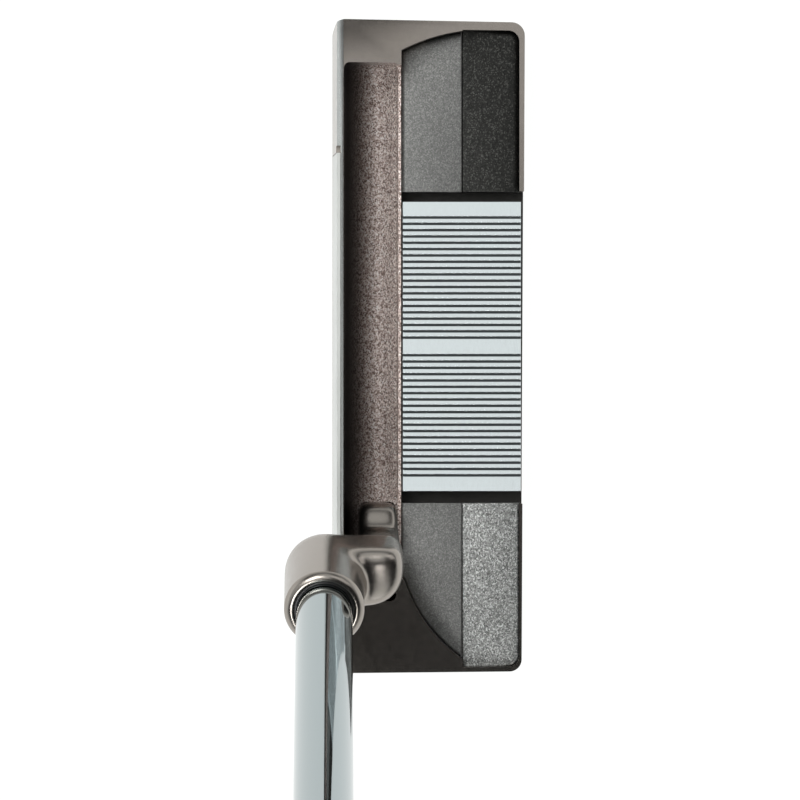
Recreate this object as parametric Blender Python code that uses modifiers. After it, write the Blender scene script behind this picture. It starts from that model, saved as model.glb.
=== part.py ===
"""Wide-blade mallet putter for a right-handed player, as an assembly at real size, in metres.

+Z is up, the face looks along -Y, the toe is at -X and the heel at +X. The origin is the middle of the flat sole.
The shaft leans towards the heel as it rises. Pieces on the shaft are made upright, with their foot where the
shaft's axis meets the ground, and are then leaned over together by their lie.
"""

import math

import bmesh
import bpy
from mathutils import Matrix

NAME = "mallet_putter"

# Clearances between neighbours
GAP = 0.0003
FILM = 0.0001

# Head
HEAD_LENGTH = 0.1182
HEAD_HEIGHT = 0.025
LOFT = math.radians(2.0)
FACE_REACH = -0.01733
FACE_REACH_HEIGHT = 0.004
TOPLINE_BACK = -0.0154
SLOPE_BACK_HEIGHT = 0.0165
BACK = 0.0173
SOLE_RADIUS = 0.0018

# Rear flange, where the plates, the weights and the alignment insert lie
FLANGE_TOP = 0.0155
FLANGE_FLOOR = 0.0095
WEIGHT_FLOOR = 0.0055
FLANGE_FRONT = -0.0049
FLANGE_SPLIT = 0.0062
TOE_BLOCK_END = -0.0281
HEEL_BLOCK_END = 0.0285
TROUGH_TOE = -0.0513
TROUGH_HEEL = 0.0425

# Alignment insert
INSERT_HALF = 0.0263
INSERT_BACK = 0.0169
GROOVES_A_SIDE = 20
GROOVE_PITCH = 0.00115
GROOVE_WIDTH = 0.00042
GROOVE_DEPTH = 0.0004
GROOVE_START = 0.0016

# Face insert
STRIKE_HALF = 0.0349
STRIKE_BOTTOM = 0.0038
STRIKE_THICK = 0.0007
CORE_HALF = 0.032
CORE_BOTTOM = 0.0052
CORE_TOP = 0.0148
CORE_THICK = 0.0009

# Shaft line and hosel
LEAN = math.radians(20.0)
SHAFT_Y = -0.0188
MOUTH_X = 0.0468
MOUTH_Z = 0.062
HOSEL_RADIUS = 0.0068
BORE_RADIUS = 0.0054
MOUTH_RADIUS = 0.0055
FERRULE_DEPTH = 0.003
SHAFT_RADIUS = 0.005
BUTT_RADIUS = 0.00762
CLUB_LENGTH = 0.864
GRIP_LENGTH = 0.26
GRIP_FLAT = 0.86

# Screws
SCREW_RADIUS = 0.0014
SCREW_HEAD_RADIUS = 0.0025
SCREW_RECESS = 0.0004
SCREW_HEAD_HEIGHT = 0.002
SOLE_WEIGHT_RADIUS = 0.0067
SOLE_WEIGHT_DEPTH = 0.0042
SOLE_WEIGHT_X = 0.045
SOLE_WEIGHT_Y = -0.007

# Distance along the shaft's axis, from the ground
MOUTH = MOUTH_Z / math.cos(LEAN)
HOSEL_FOOT = MOUTH - 0.024
SHAFT_TIP = MOUTH - 0.0195
GRIP_START = CLUB_LENGTH - GRIP_LENGTH
SHAFT_BUTT = CLUB_LENGTH - 0.0065
GROUND_X = MOUTH_X - MOUTH_Z * math.tan(LEAN)

PARTS = None
CUTTERS = None


def clear_scene():
    for old in list(bpy.data.objects):
        bpy.data.objects.remove(old)


def make_collection(name, hidden):
    made = bpy.data.collections.new(name)
    made.hide_render = hidden
    bpy.context.scene.collection.children.link(made)
    return made


def make_material(name, colour, roughness, metallic):
    made = bpy.data.materials.new(name)
    made.use_nodes = True
    shader = made.node_tree.nodes["Principled BSDF"]
    shader.inputs["Base Color"].default_value = (*colour, 1.0)
    shader.inputs["Roughness"].default_value = roughness
    shader.inputs["Metallic"].default_value = metallic
    made.diffuse_color = (*colour, 1.0)
    return made


def new_object(name, mesh):
    made = bpy.data.objects.new(name, mesh)
    bpy.context.scene.collection.objects.link(made)
    return made


def as_part(piece, material):
    """Moves a finished piece to the parts, with its material and smooth round faces."""
    bpy.context.scene.collection.objects.unlink(piece)
    PARTS.objects.link(piece)
    piece.data.materials.clear()
    piece.data.materials.append(material)
    piece.data.shade_smooth()
    piece.data.set_sharp_from_angle(angle=math.radians(35))
    return piece


def as_cutter(piece):
    bpy.context.scene.collection.objects.unlink(piece)
    CUTTERS.objects.link(piece)
    piece.hide_render = True
    piece.display_type = "WIRE"
    return piece


def boolean(piece, tool, operation):
    change = piece.modifiers.new(f"{operation.lower()}_{tool.name}", "BOOLEAN")
    change.operation = operation
    change.solver = "EXACT"
    change.object = as_cutter(tool)


def cut(piece, tool):
    boolean(piece, tool, "DIFFERENCE")


def join(piece, tool):
    boolean(piece, tool, "UNION")


def fillet(before, corner, after, radius, steps=5):
    """Points of an arc that rounds one corner of an outline."""
    here = [corner[0], corner[1]]
    ways = []
    for other in (before, after):
        way = [other[0] - here[0], other[1] - here[1]]
        length = math.hypot(*way)
        ways.append([way[0] / length, way[1] / length])
    half = math.acos(ways[0][0] * ways[1][0] + ways[0][1] * ways[1][1]) / 2
    reach = radius / math.tan(half)
    middle = [ways[0][0] + ways[1][0], ways[0][1] + ways[1][1]]
    away = radius / math.sin(half) / math.hypot(*middle)
    centre = [here[0] + middle[0] * away, here[1] + middle[1] * away]
    start = [here[0] + ways[0][0] * reach - centre[0], here[1] + ways[0][1] * reach - centre[1]]
    end = [here[0] + ways[1][0] * reach - centre[0], here[1] + ways[1][1] * reach - centre[1]]
    turn = math.atan2(start[0] * end[1] - start[1] * end[0], start[0] * end[0] + start[1] * end[1])
    points = []
    for step in range(steps + 1):
        angle = turn * step / steps
        across = start[0] * math.cos(angle) - start[1] * math.sin(angle)
        along = start[0] * math.sin(angle) + start[1] * math.cos(angle)
        points.append((centre[0] + across, centre[1] + along))
    return points


def rounded(corners):
    """An outline from (x, y, radius) corners; a radius of 0 keeps the corner."""
    points = []
    for index, corner in enumerate(corners):
        if corner[2] == 0:
            points.append((corner[0], corner[1]))
            continue
        after = corners[(index + 1) % len(corners)]
        points += fillet(corners[index - 1], corner, after, corner[2])
    return points


def bow(start, end, bulge, steps=8):
    """Points of a shallow arc between two points, both left out. It bulges to the left of the way from start to end."""
    way = (end[0] - start[0], end[1] - start[1])
    length = math.hypot(*way)
    left = (-way[1] / length, way[0] / length)
    points = []
    for step in range(1, steps):
        share = step / steps
        rise = bulge * 4 * share * (1 - share)
        points.append((start[0] + way[0] * share + left[0] * rise, start[1] + way[1] * share + left[1] * rise))
    return points


def filled_outline(name, outline, thickness):
    """A flat outline, thickened to both sides of its plane, as a welded mesh."""
    drawing = bpy.data.curves.new(name, "CURVE")
    drawing.dimensions = "2D"
    drawing.fill_mode = "BOTH"
    drawing.extrude = thickness / 2
    line = drawing.splines.new("POLY")
    line.points.add(len(outline) - 1)
    for point, place in zip(line.points, outline):
        point.co = (place[0], place[1], 0.0, 1.0)
    line.use_cyclic_u = True
    holder = new_object(f"{name}_outline", drawing)
    graph = bpy.context.evaluated_depsgraph_get()
    mesh = bpy.data.meshes.new_from_object(holder.evaluated_get(graph))
    bpy.data.objects.remove(holder)
    work = bmesh.new()
    work.from_mesh(mesh)
    bmesh.ops.remove_doubles(work, verts=work.verts, dist=1e-6)
    bmesh.ops.recalc_face_normals(work, faces=work.faces)
    work.to_mesh(mesh)
    work.free()
    return new_object(name, mesh)


def slab(name, outline, low, high):
    """An outline in X and Y, from one height to another."""
    piece = filled_outline(name, outline, high - low)
    piece.data.transform(Matrix.Translation((0, 0, (low + high) / 2)))
    return piece


def prism_along_x(name, outline, start, end):
    """An outline in Y and Z, from one X to another."""
    piece = filled_outline(name, outline, end - start)
    turn = Matrix(((0, 0, 1, 0), (1, 0, 0, 0), (0, 1, 0, 0), (0, 0, 0, 1)))
    piece.data.transform(Matrix.Translation(((start + end) / 2, 0, 0)) @ turn)
    return piece


def prism_along_y(name, outline, start, end):
    """An outline in X and Z, from one Y to another."""
    piece = filled_outline(name, outline, end - start)
    turn = Matrix.Rotation(math.radians(90), 4, "X")
    piece.data.transform(Matrix.Translation((0, (start + end) / 2, 0)) @ turn)
    return piece


def block(name, low, high):
    work = bmesh.new()
    bmesh.ops.create_cube(work, size=1.0)
    for point in work.verts:
        for axis in range(3):
            point.co[axis] = low[axis] if point.co[axis] < 0 else high[axis]
    mesh = bpy.data.meshes.new(name)
    work.to_mesh(mesh)
    work.free()
    return new_object(name, mesh)


def round_edges(piece, width, segments, chosen):
    """Rounds the edges whose two ends both pass the test, such as a top or a bottom rim."""
    work = bmesh.new()
    work.from_mesh(piece.data)
    edges = [edge for edge in work.edges if chosen(edge.verts[0].co) and chosen(edge.verts[1].co)]
    sharp = [edge for edge in edges if edge.calc_face_angle(0) > math.radians(30)]
    bmesh.ops.bevel(work, geom=sharp, offset=width, segments=segments, profile=0.5, affect="EDGES")
    work.to_mesh(piece.data)
    work.free()


def turned(name, profile, steps=24, closed=False):
    """A turned piece from (radius, height) points that run down its outer side. A closed profile makes a ring."""
    mesh = bpy.data.meshes.new(name)
    places = [(radius, 0.0, height) for radius, height in profile]
    edges = [(index, index + 1) for index in range(len(places) - 1)]
    if closed:
        edges.append((len(places) - 1, 0))
    mesh.from_pydata(places, edges, [])
    piece = new_object(name, mesh)
    spin = piece.modifiers.new("turn", "SCREW")
    spin.steps = steps
    spin.render_steps = steps
    spin.use_merge_vertices = True
    spin.merge_threshold = 0.00001
    return piece


def ring(name, inner, outer, low, high, steps=24):
    profile = [(outer, high), (outer, low), (inner, low), (inner, high)]
    return turned(name, profile, steps, closed=True)


def rod(name, radius, low, high, steps=16):
    return turned(name, [(0, high), (radius, high), (radius, low), (0, low)], steps)


def stand_at(piece, x, y):
    piece.location = (x, y, 0)
    return piece


def lean(piece):
    """Leans an upright shaft piece over the heel, about the point where the shaft's axis meets the ground."""
    piece.location = (GROUND_X, SHAFT_Y, 0)
    piece.rotation_euler = (0, LEAN, 0)
    return piece


def face_y(height):
    return FACE_REACH + (height - FACE_REACH_HEIGHT) * math.tan(LOFT)


def slope_height(y):
    """Height of the bumpers' sloping tops, from the topline down to the back of the head."""
    share = (y - TOPLINE_BACK) / (BACK - TOPLINE_BACK)
    return HEAD_HEIGHT + (SLOPE_BACK_HEIGHT - HEAD_HEIGHT) * share


def head_outline():
    half = HEAD_LENGTH / 2
    front = FACE_REACH - 0.0002
    corners = [(-half, front, 0.0025), (half, front, 0.002), (half, 0.017, 0.0022)]
    corners.append((-half + 0.0002, 0.0176, 0.0024))
    return rounded(corners)


def trough_profile():
    """The deep hollow behind the topline: a steep front wall, a round floor and a rising back."""
    wall = [(TOPLINE_BACK, 0.0251), (-0.0152, 0.021), (-0.0146, 0.0168), (-0.0135, 0.0133)]
    floor = [(-0.0118, 0.0111), (-0.0098, 0.0103), (-0.0078, 0.0109), (-0.0064, 0.0126)]
    back = [(-0.0054, 0.0152), (-0.0054, 0.03), (TOPLINE_BACK, 0.03)]
    return wall + floor + back


def toe_front_outline(inset):
    front = FLANGE_FRONT + inset
    split = FLANGE_SPLIT - inset / 2
    start = (-0.0572 + inset, split)
    end = (-0.0536 + inset, front)
    curve = bow(start, end, -0.0005)
    corner = [(TOE_BLOCK_END, front), (TOE_BLOCK_END, split)]
    return [start] + curve + [end] + corner


def heel_front_outline(inset):
    front = FLANGE_FRONT + inset
    split = FLANGE_SPLIT - inset / 2
    start = (0.0425 - inset, front + 0.0006)
    end = (0.0567 - inset, split)
    curve = bow(start, end, -0.0014)
    corner = [(HEEL_BLOCK_END, split), (HEEL_BLOCK_END, front), (0.0419 - inset, front)]
    return [start] + curve + [end] + corner


def toe_rear_outline(inset):
    split = FLANGE_SPLIT + inset / 2
    back = 0.0166 - inset
    toe = -0.0574 + inset
    return rounded([(toe, split, 0), (TOE_BLOCK_END, split, 0), (TOE_BLOCK_END, back, 0), (toe, back, 0.002)])


def heel_rear_outline(inset):
    split = FLANGE_SPLIT + inset / 2
    back = 0.0166 - inset
    heel = 0.0582 - inset
    return rounded([(HEEL_BLOCK_END, split, 0), (heel, split, 0), (heel, back, 0.002), (HEEL_BLOCK_END, back, 0)])


# Each screw: name, X, Y, height of its tip, and height of the floor that it passes through
SCREWS = (
    ("toe_plate_screw", -0.034, 0.0008, 0.0135, FLANGE_FLOOR),
    ("heel_plate_screw", 0.0345, 0.0008, 0.0135, FLANGE_FLOOR),
    ("toe_weight_screw", -0.043, 0.0098, 0.0125, WEIGHT_FLOOR),
    ("heel_weight_screw", 0.043, 0.0098, 0.0125, WEIGHT_FLOOR),
    ("alignment_screw_toe", -0.018, 0.006, 0.0135, FLANGE_FLOOR),
    ("alignment_screw_heel", 0.018, 0.006, 0.0135, FLANGE_FLOOR),
)


def drill_blind(piece, screw):
    """The threaded hole of a screw, in the piece that it holds."""
    name, x, y, tip, _ = screw
    hole = rod(f"{name}_thread_cutter", SCREW_RADIUS + GAP, 0.004, tip + GAP)
    cut(piece, stand_at(hole, x, y))


def make_head_body(bronze):
    body = slab("head_body", head_outline(), 0.0, HEAD_HEIGHT)
    round_edges(body, SOLE_RADIUS, 3, lambda place: place.z < 0.0001)

    ahead = -0.04
    low = -0.01
    top = HEAD_HEIGHT + 0.01
    loft_outline = [(ahead, low), (face_y(low), low), (face_y(top), top), (ahead, top)]
    cut(body, prism_along_x("face_cutter", loft_outline, -0.08, 0.08))

    behind = 0.025
    slope_outline = [(TOPLINE_BACK, HEAD_HEIGHT), (behind, slope_height(behind)), (behind, top), (TOPLINE_BACK, top)]
    cut(body, prism_along_x("slope_cutter", slope_outline, -0.08, 0.08))

    above = 0.03
    cut(body, block("neck_socket_cutter", (0.028, -0.0127, 0.0067), (0.0465, -0.00555, above)))
    cut(body, prism_along_x("trough_cutter", trough_profile(), TROUGH_TOE, TROUGH_HEEL))
    ridge_low = (TROUGH_TOE + 0.0002, -0.0085, FLANGE_TOP + 0.0002)
    cut(body, block("ridge_cutter", ridge_low, (TROUGH_HEEL - 0.0002, 0.0, above)))
    cut(body, slab("toe_front_cutter", toe_front_outline(0), FLANGE_FLOOR, above))
    cut(body, slab("heel_front_cutter", heel_front_outline(0), FLANGE_FLOOR, above))
    cut(body, slab("toe_rear_cutter", toe_rear_outline(0), WEIGHT_FLOOR, above))
    cut(body, slab("heel_rear_cutter", heel_rear_outline(0), WEIGHT_FLOOR, above))
    low_corner = (TOE_BLOCK_END - 0.0001, FLANGE_FRONT, FLANGE_FLOOR)
    high_corner = (HEEL_BLOCK_END + 0.0001, behind, above)
    cut(body, block("alignment_cutter", low_corner, high_corner))

    strike_back = STRIKE_THICK + FILM
    strike = [(ahead, STRIKE_BOTTOM - FILM), (face_y(STRIKE_BOTTOM) + strike_back, STRIKE_BOTTOM - FILM)]
    strike += [(face_y(top) + strike_back, top), (ahead, top)]
    cut(body, prism_along_x("strike_cutter", strike, -STRIKE_HALF - FILM, STRIKE_HALF + FILM))
    core_back = strike_back + CORE_THICK + 2 * FILM
    core = [(face_y(CORE_BOTTOM), CORE_BOTTOM), (face_y(CORE_BOTTOM) + core_back, CORE_BOTTOM)]
    core += [(face_y(CORE_TOP) + core_back, CORE_TOP), (face_y(CORE_TOP), CORE_TOP)]
    cut(body, prism_along_x("core_cutter", core, -CORE_HALF, CORE_HALF))

    for screw in SCREWS:
        name, x, y, _, floor = screw
        seat = SCREW_RECESS + SCREW_HEAD_HEIGHT + GAP
        through = floor + 0.001
        profile = [(0, through), (SCREW_RADIUS + GAP, through), (SCREW_RADIUS + GAP, seat)]
        profile += [(SCREW_HEAD_RADIUS + GAP, seat), (SCREW_HEAD_RADIUS + GAP, -0.001), (0, -0.001)]
        cut(body, stand_at(turned(f"{name}_hole_cutter", profile, 16), x, y))
    for side in (-1, 1):
        well = rod(f"weight_well_cutter_{side + 1}", SOLE_WEIGHT_RADIUS + GAP, -0.001, SOLE_WEIGHT_DEPTH + GAP, 24)
        cut(body, stand_at(well, side * SOLE_WEIGHT_X, SOLE_WEIGHT_Y))
    return as_part(body, bronze)


def make_neck(bronze):
    """The crank neck: a foot in the trough, a post, a cross bar and the hosel, joined into one casting."""
    neck = block("neck", (0.0283, -0.0124, 0.007), (0.0462, -0.00585, 0.0205))
    round_edges(neck, 0.0015, 2, lambda place: place.z > 0.02)

    ledge = block("neck_ledge_form", (-0.0044, -0.0031, -0.0028), (0.0044, 0.0031, 0.0028))
    round_edges(ledge, 0.0008, 2, lambda place: True)
    ledge.location = (0.0341, -0.0091, 0.0193)
    ledge.rotation_euler = (0, math.radians(-25), 0)
    join(neck, ledge)

    post = block("neck_post_form", (-0.0038, -0.0035, -0.0145), (0.0038, 0.0035, 0.0145))
    round_edges(post, 0.0022, 3, lambda place: True)
    post.location = (0.0375, -0.0089, 0.0315)
    post.rotation_euler = (0, math.radians(4), 0)
    join(neck, post)

    bar = block("neck_bar_form", (-0.0051, -0.00675, -0.0048), (0.0051, 0.00675, 0.0048))
    round_edges(bar, 0.003, 3, lambda place: True)
    bar.location = (0.04, -0.01205, 0.0456)
    bar.rotation_euler = (0, LEAN, 0)
    join(neck, bar)

    crown = 0.0014
    profile = [(0, MOUTH), (HOSEL_RADIUS - crown, MOUTH)]
    profile += [(HOSEL_RADIUS - 0.3 * crown, MOUTH - 0.3 * crown), (HOSEL_RADIUS, MOUTH - crown)]
    profile += [(HOSEL_RADIUS, HOSEL_FOOT + 0.004), (HOSEL_RADIUS * 0.8, HOSEL_FOOT + 0.001), (0, HOSEL_FOOT)]
    join(neck, lean(turned("neck_hosel_form", profile)))

    above = MOUTH + 0.01
    step = MOUTH - FERRULE_DEPTH
    bore = [(0, above), (MOUTH_RADIUS, above), (MOUTH_RADIUS, step), (BORE_RADIUS, step)]
    bore += [(BORE_RADIUS, SHAFT_TIP - GAP), (0, SHAFT_TIP - GAP)]
    cut(neck, lean(turned("neck_bore_cutter", bore)))
    return as_part(neck, bronze)


def make_face_insert(white, elastomer):
    """A hard strike plate whose top edge lies in the topline, and the soft pad behind it."""
    top = HEAD_HEIGHT
    back = STRIKE_THICK
    outline = [(face_y(STRIKE_BOTTOM), STRIKE_BOTTOM), (face_y(STRIKE_BOTTOM) + back, STRIKE_BOTTOM)]
    outline += [(face_y(top) + back, top), (face_y(top), top)]
    plate = prism_along_x("face_insert", outline, -STRIKE_HALF, STRIKE_HALF)
    as_part(plate, white)

    inset = 2 * FILM
    front = STRIKE_THICK + 2 * FILM
    low = CORE_BOTTOM + inset
    high = CORE_TOP - inset
    outline = [(face_y(low) + front, low), (face_y(low) + front + CORE_THICK, low)]
    outline += [(face_y(high) + front + CORE_THICK, high), (face_y(high) + front, high)]
    pad = prism_along_x("face_insert_core", outline, -CORE_HALF + inset, CORE_HALF - inset)
    as_part(pad, elastomer)


def make_alignment_insert(aluminium):
    """A block with sight grooves that run from front to back, on both sides of a plain middle band."""
    low = FLANGE_FLOOR + GAP
    outline = [(-INSERT_HALF, low), (INSERT_HALF, low), (INSERT_HALF, FLANGE_TOP)]
    for side in (1, -1):
        marks = [GROOVE_START + GROOVE_PITCH * index for index in range(GROOVES_A_SIDE)]
        if side == 1:
            marks.reverse()
        for mark in marks:
            middle = side * mark
            half = GROOVE_WIDTH / 2
            outline.append((middle + half, FLANGE_TOP))
            outline.append((middle + half * 0.6, FLANGE_TOP - GROOVE_DEPTH))
            outline.append((middle - half * 0.6, FLANGE_TOP - GROOVE_DEPTH))
            outline.append((middle - half, FLANGE_TOP))
    outline.append((-INSERT_HALF, FLANGE_TOP))
    insert = prism_along_y("alignment_insert", outline, FLANGE_FRONT + GAP, INSERT_BACK)
    for screw in SCREWS:
        if screw[0].startswith("alignment"):
            drill_blind(insert, screw)
    as_part(insert, aluminium)


def make_flange_pieces(blasted, dark_texture, light_texture):
    """The front plates and the rear weights, each on its own floor, with a softened top rim."""
    rows = (
        ("toe_front_plate", toe_front_outline, FLANGE_FLOOR, blasted, "toe_plate_screw"),
        ("heel_front_plate", heel_front_outline, FLANGE_FLOOR, blasted, "heel_plate_screw"),
        ("toe_rear_weight", toe_rear_outline, WEIGHT_FLOOR, dark_texture, "toe_weight_screw"),
        ("heel_rear_weight", heel_rear_outline, WEIGHT_FLOOR, light_texture, "heel_weight_screw"),
    )
    for name, outline, floor, material, screw_name in rows:
        piece = slab(name, outline(GAP), floor + GAP, FLANGE_TOP)
        round_edges(piece, 0.0004, 2, lambda place: place.z > FLANGE_TOP - 0.0001)
        for screw in SCREWS:
            if screw[0] == screw_name:
                drill_blind(piece, screw)
        as_part(piece, material)


def make_screws(steel):
    for name, x, y, tip, _ in SCREWS:
        shoulder = SCREW_RECESS + SCREW_HEAD_HEIGHT
        profile = [(0, tip), (SCREW_RADIUS - 0.0004, tip), (SCREW_RADIUS, tip - 0.0006), (SCREW_RADIUS, shoulder)]
        profile += [(SCREW_HEAD_RADIUS, shoulder), (SCREW_HEAD_RADIUS, SCREW_RECESS), (0, SCREW_RECESS)]
        screw = turned(name, profile, 16)
        socket = rod(f"{name}_socket_cutter", 0.0012, -0.001, SCREW_RECESS + 0.0012, 6)
        cut(screw, stand_at(socket, x, y))
        as_part(stand_at(screw, x, y), steel)


def make_sole_weights(steel):
    for name, side in (("toe_sole_weight", -1), ("heel_sole_weight", 1)):
        low = 0.0002
        rim = SOLE_WEIGHT_RADIUS - 0.0004
        profile = [(0, SOLE_WEIGHT_DEPTH), (SOLE_WEIGHT_RADIUS, SOLE_WEIGHT_DEPTH)]
        profile += [(SOLE_WEIGHT_RADIUS, low + 0.0004), (rim, low), (0, low)]
        weight = turned(name, profile, 24)
        socket = rod(f"{name}_socket_cutter", 0.0023, -0.001, low + 0.0022, 6)
        cut(weight, stand_at(socket, side * SOLE_WEIGHT_X, SOLE_WEIGHT_Y))
        as_part(stand_at(weight, side * SOLE_WEIGHT_X, SOLE_WEIGHT_Y), steel)


def make_shaft_pieces(chrome, black_plastic, epoxy):
    tip_wall = 0.0008
    butt_wall = 0.0006
    taper_start = 0.2
    taper_end = 0.6
    profile = [(BUTT_RADIUS, SHAFT_BUTT), (BUTT_RADIUS, taper_end), (SHAFT_RADIUS, taper_start)]
    profile += [(SHAFT_RADIUS, SHAFT_TIP), (SHAFT_RADIUS - tip_wall, SHAFT_TIP)]
    profile += [(SHAFT_RADIUS - tip_wall, taper_start), (BUTT_RADIUS - butt_wall, taper_end)]
    profile.append((BUTT_RADIUS - butt_wall, SHAFT_BUTT))
    as_part(lean(turned("shaft", profile, 24, closed=True)), chrome)

    ferrule_low = MOUTH - FERRULE_DEPTH + GAP
    ferrule = ring("shaft_ferrule", SHAFT_RADIUS + FILM, MOUTH_RADIUS - FILM, ferrule_low, MOUTH - 0.0003)
    as_part(lean(ferrule), black_plastic)
    bond_top = MOUTH - FERRULE_DEPTH - GAP
    bond = ring("shaft_bond", SHAFT_RADIUS + FILM, BORE_RADIUS - FILM, SHAFT_TIP, bond_top)
    as_part(lean(bond), epoxy)
    plug_radius = SHAFT_RADIUS - tip_wall - FILM
    as_part(lean(rod("shaft_tip_plug", plug_radius, SHAFT_TIP + 0.001, SHAFT_TIP + 0.008)), black_plastic)


def grip_radius(place):
    """Outer radius of the grip at a distance along the shaft's axis: slim below, fuller at the top hand."""
    share = (place - GRIP_START) / GRIP_LENGTH
    return 0.0116 + 0.0028 * (3 * share**2 - 2 * share**3)


def grip_loop(radius, place, count=24):
    """A round section with one flat side, for the thumbs, at local -X."""
    loop = []
    for index in range(count):
        angle = 2 * math.pi * index / count
        loop.append((max(radius * math.cos(angle), -radius * GRIP_FLAT), radius * math.sin(angle), place))
    return loop


def sleeve(name, loops):
    """A tube with unlike sections: loops that run up its outside and then down its inside, joined into a ring."""
    work = bmesh.new()
    rows = [[work.verts.new(place) for place in loop] for loop in loops]
    count = len(rows[0])
    for index, row in enumerate(rows):
        after = rows[(index + 1) % len(rows)]
        for step in range(count):
            beside = (step + 1) % count
            work.faces.new((row[step], row[beside], after[beside], after[step]))
    bmesh.ops.recalc_face_normals(work, faces=work.faces)
    mesh = bpy.data.meshes.new(name)
    work.to_mesh(mesh)
    work.free()
    return new_object(name, mesh)


def make_grip(rubber, foam, tape):
    wrap_thick = 0.0015
    tape_inner = BUTT_RADIUS + FILM
    tape_outer = tape_inner + 0.0002
    foam_inner = tape_outer + FILM
    body_top = CLUB_LENGTH - 0.006
    places = [GRIP_START + (body_top - GRIP_START) * step / 8 for step in range(9)]

    as_part(lean(ring("grip_tape", tape_inner, tape_outer, GRIP_START + 0.002, SHAFT_BUTT - 0.001)), tape)

    outside = [grip_loop(grip_radius(place) - wrap_thick - FILM, place) for place in places]
    round_bore = [(foam_inner * math.cos(math.tau * step / 24), foam_inner * math.sin(math.tau * step / 24))
                  for step in range(24)]
    inside = [[(x, y, place) for x, y in round_bore] for place in reversed(places)]
    as_part(lean(sleeve("grip_underlisting", outside + inside)), foam)

    outside = [grip_loop(grip_radius(place), place) for place in places]
    inside = [grip_loop(grip_radius(place) - wrap_thick, place) for place in reversed(places)]
    as_part(lean(sleeve("grip_wrap", outside + inside)), rubber)

    cap_low = body_top + GAP
    radius = grip_radius(CLUB_LENGTH)
    vent = 0.001
    loops = [grip_loop(radius, cap_low), grip_loop(radius, CLUB_LENGTH - 0.0015)]
    loops.append(grip_loop(radius - 0.0015, CLUB_LENGTH))
    for place in (CLUB_LENGTH, cap_low):
        loops.append([(x / radius * vent, y / radius * vent, place) for x, y, _ in grip_loop(radius, place)])
    as_part(lean(sleeve("grip_end_cap", loops)), rubber)


def main():
    global PARTS, CUTTERS
    clear_scene()
    PARTS = make_collection(NAME, hidden=False)
    CUTTERS = make_collection("cutters", hidden=True)

    bronze = make_material("bronze_finish", (0.2, 0.165, 0.14), 0.32, 1.0)
    white = make_material("pale_strike_plate", (0.75, 0.76, 0.73), 0.35, 0.0)
    elastomer = make_material("elastomer", (0.1, 0.1, 0.11), 0.7, 0.0)
    aluminium = make_material("polished_aluminium", (0.75, 0.79, 0.81), 0.15, 1.0)
    blasted = make_material("blasted_grey", (0.2, 0.2, 0.19), 0.55, 0.8)
    dark_texture = make_material("dark_texture", (0.05, 0.05, 0.048), 0.6, 0.6)
    light_texture = make_material("light_texture", (0.25, 0.25, 0.24), 0.5, 0.8)
    steel = make_material("screw_steel", (0.35, 0.35, 0.36), 0.3, 1.0)
    chrome = make_material("chrome", (0.75, 0.78, 0.8), 0.06, 1.0)
    black_plastic = make_material("black_plastic", (0.01, 0.01, 0.01), 0.4, 0.0)
    epoxy = make_material("epoxy", (0.35, 0.3, 0.2), 0.5, 0.0)
    rubber = make_material("grip_rubber", (0.02, 0.02, 0.022), 0.7, 0.0)
    foam = make_material("grip_foam", (0.08, 0.08, 0.085), 0.9, 0.0)
    tape = make_material("grip_tape", (0.6, 0.58, 0.5), 0.8, 0.0)

    make_head_body(bronze)
    make_neck(bronze)
    make_face_insert(white, elastomer)
    make_alignment_insert(aluminium)
    make_flange_pieces(blasted, dark_texture, light_texture)
    make_screws(steel)
    make_sole_weights(steel)
    make_shaft_pieces(chrome, black_plastic, epoxy)
    make_grip(rubber, foam, tape)


main()
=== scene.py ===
"""Looks of the mallet putter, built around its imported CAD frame. Metres, +Z up, face along -Y, heel at +X."""

import math

import bmesh
import bpy
from mathutils import Matrix, Vector


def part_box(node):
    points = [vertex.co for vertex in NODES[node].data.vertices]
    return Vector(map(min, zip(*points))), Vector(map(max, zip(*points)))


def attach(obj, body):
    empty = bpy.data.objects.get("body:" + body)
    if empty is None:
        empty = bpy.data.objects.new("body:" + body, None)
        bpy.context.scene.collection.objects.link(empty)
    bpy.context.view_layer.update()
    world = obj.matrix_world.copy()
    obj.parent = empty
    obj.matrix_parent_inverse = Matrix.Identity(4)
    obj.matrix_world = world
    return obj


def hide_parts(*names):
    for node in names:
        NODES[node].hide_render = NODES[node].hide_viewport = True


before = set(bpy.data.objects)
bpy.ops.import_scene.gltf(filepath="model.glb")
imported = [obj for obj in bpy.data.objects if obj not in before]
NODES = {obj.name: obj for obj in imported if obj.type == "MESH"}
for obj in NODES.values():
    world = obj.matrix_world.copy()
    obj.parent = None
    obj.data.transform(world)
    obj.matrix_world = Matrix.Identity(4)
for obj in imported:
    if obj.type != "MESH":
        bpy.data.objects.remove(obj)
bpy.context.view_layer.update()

# Sizes read from the frame
HEAD_LOW, HEAD_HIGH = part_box("head_body")
INSERT_LOW, INSERT_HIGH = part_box("alignment_insert")
STRIKE_LOW, STRIKE_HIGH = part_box("face_insert")
TOE_PLATE_LOW, TOE_PLATE_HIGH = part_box("toe_front_plate")
HEEL_PLATE_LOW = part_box("heel_front_plate")[0]
TOE_WEIGHT_LOW, TOE_WEIGHT_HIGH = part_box("toe_rear_weight")
HEEL_WEIGHT_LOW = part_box("heel_rear_weight")[0]
NECK_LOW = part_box("neck")[0]

HEAD_HEIGHT = HEAD_HIGH.z
FLANGE_TOP = INSERT_HIGH.z
GAP = 0.0003

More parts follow.
